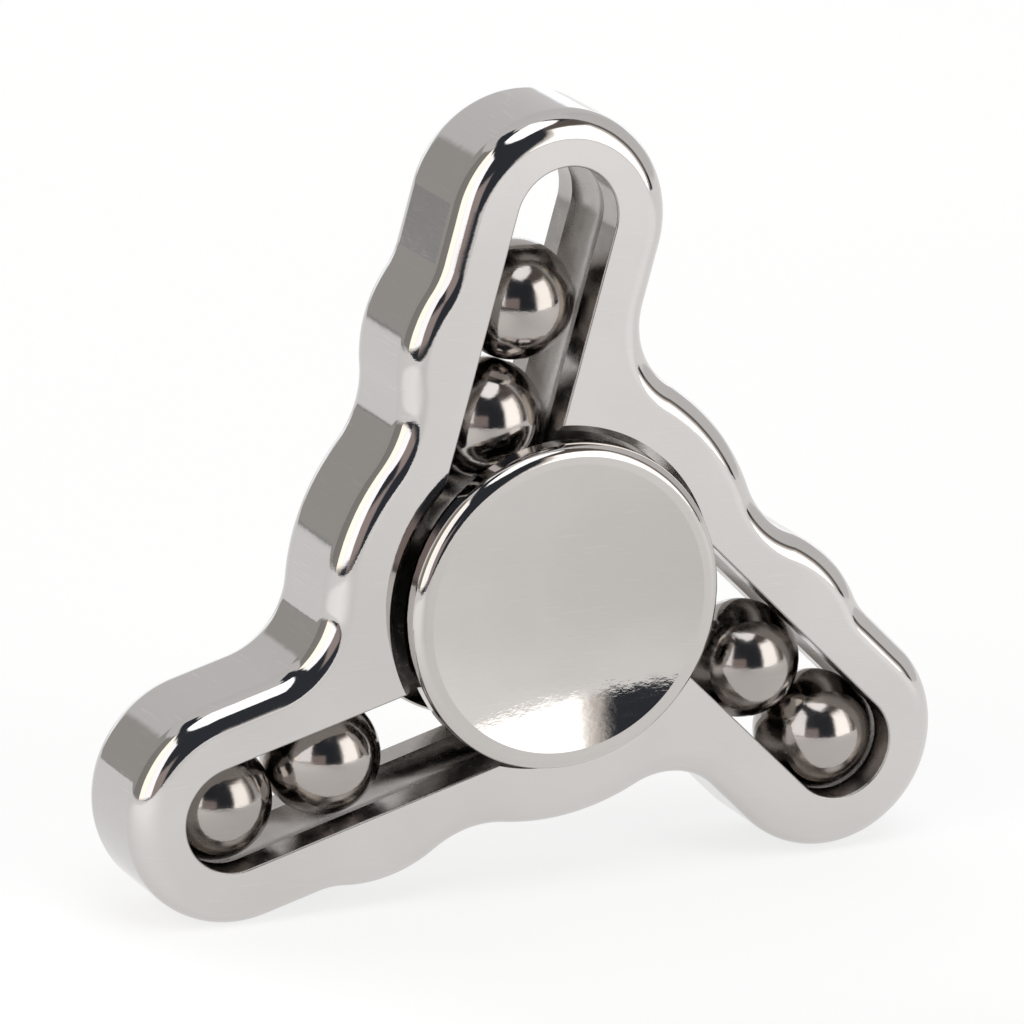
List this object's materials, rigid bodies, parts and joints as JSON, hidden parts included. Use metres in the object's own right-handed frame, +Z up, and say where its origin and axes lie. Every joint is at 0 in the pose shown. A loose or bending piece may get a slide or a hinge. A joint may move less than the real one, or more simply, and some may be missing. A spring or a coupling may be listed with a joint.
{
  "type": "fidget spinner",
  "caption": "Polished steel three-armed fidget spinner with swirled arms, loose steel balls rolling in slotted races, and dished finger caps on a ball bearing.",
  "frame": {"origin": "on the spin axis, half way through the frame's thickness", "axes": "+Y along the spin axis from the front face to the back face, +Z up the top arm, +X to the viewer's right when the front face is seen"},
  "size_m": [0.0587, 0.014, 0.053],
  "materials": {
    "polished_steel": "polished stainless steel, fine machining lines",
    "cap_steel": "polished stainless steel with fine scratches",
    "ball_steel": "mirror-bright bearing ball",
    "ring_steel": "ground bearing steel",
    "cage_steel": "pressed sheet steel"
  },
  "bodies": {
    "frame": {"frame": "polished_steel", "bearing_sleeve": "ring_steel", "bearing_outer_ring": "ring_steel"},
    "hub": {"cap_front": "cap_steel", "cap_rear": "cap_steel", "bearing_inner_ring": "ring_steel"},
    "bearing_ball_set": {"bearing_cage": "cage_steel", "bearing_ball_01": "ball_steel", "bearing_ball_02": "ball_steel", "bearing_ball_03": "ball_steel", "bearing_ball_04": "ball_steel", "bearing_ball_05": "ball_steel", "bearing_ball_06": "ball_steel", "bearing_ball_07": "ball_steel", "bearing_ball_08": "ball_steel", "bearing_ball_09": "ball_steel", "bearing_ball_10": "ball_steel"},
    "ball_top_outer": {"race_ball_top_outer": "ball_steel"},
    "ball_top_inner": {"race_ball_top_inner": "ball_steel"},
    "ball_left_outer": {"race_ball_left_outer": "ball_steel"},
    "ball_left_inner": {"race_ball_left_inner": "ball_steel"},
    "ball_right_outer": {"race_ball_right_outer": "ball_steel"},
    "ball_right_inner": {"race_ball_right_inner": "ball_steel"}
  },
  "joints": [
    {"name": "hub_spin", "type": "hinge", "parent": "frame", "child": "hub", "pos_m": [0, 0, 0], "axis": [0, 1, 0], "continuous": true},
    {"name": "ball_set_spin", "type": "hinge", "parent": "frame", "child": "bearing_ball_set", "pos_m": [0, 0, 0], "axis": [0, 1, 0], "continuous": true},
    {"name": "ball_top_outer_run", "type": "slide", "parent": "frame", "child": "ball_top_outer", "axis": [0.2419, 0, 0.9703], "range_m": [0, 0.0066]},
    {"name": "ball_top_inner_run", "type": "slide", "parent": "frame", "child": "ball_top_inner", "axis": [0.2419, 0, 0.9703], "range_m": [0, 0.0066]},
    {"name": "ball_left_outer_run", "type": "slide", "parent": "frame", "child": "ball_left_outer", "axis": [0.9613, 0, 0.2756], "range_m": [-0.0002, 0.00636]},
    {"name": "ball_left_inner_run", "type": "slide", "parent": "frame", "child": "ball_left_inner", "axis": [0.9613, 0, 0.2756], "range_m": [-0.0002, 0.00636]},
    {"name": "ball_right_outer_run", "type": "slide", "parent": "frame", "child": "ball_right_outer", "axis": [-0.7193, 0, 0.6947], "range_m": [-0.0001, 0.00649]},
    {"name": "ball_right_inner_run", "type": "slide", "parent": "frame", "child": "ball_right_inner", "axis": [-0.7193, 0, 0.6947], "range_m": [-0.0001, 0.00649]}
  ],
  "couplings": [
    {"joint": "ball_set_spin", "follows": "hub_spin", "ratio": 0.4166},
    {"joint": "ball_top_inner_run", "follows": "ball_top_outer_run", "ratio": 1},
    {"joint": "ball_left_inner_run", "follows": "ball_left_outer_run", "ratio": 1},
    {"joint": "ball_right_inner_run", "follows": "ball_right_outer_run", "ratio": 1}
  ]
}
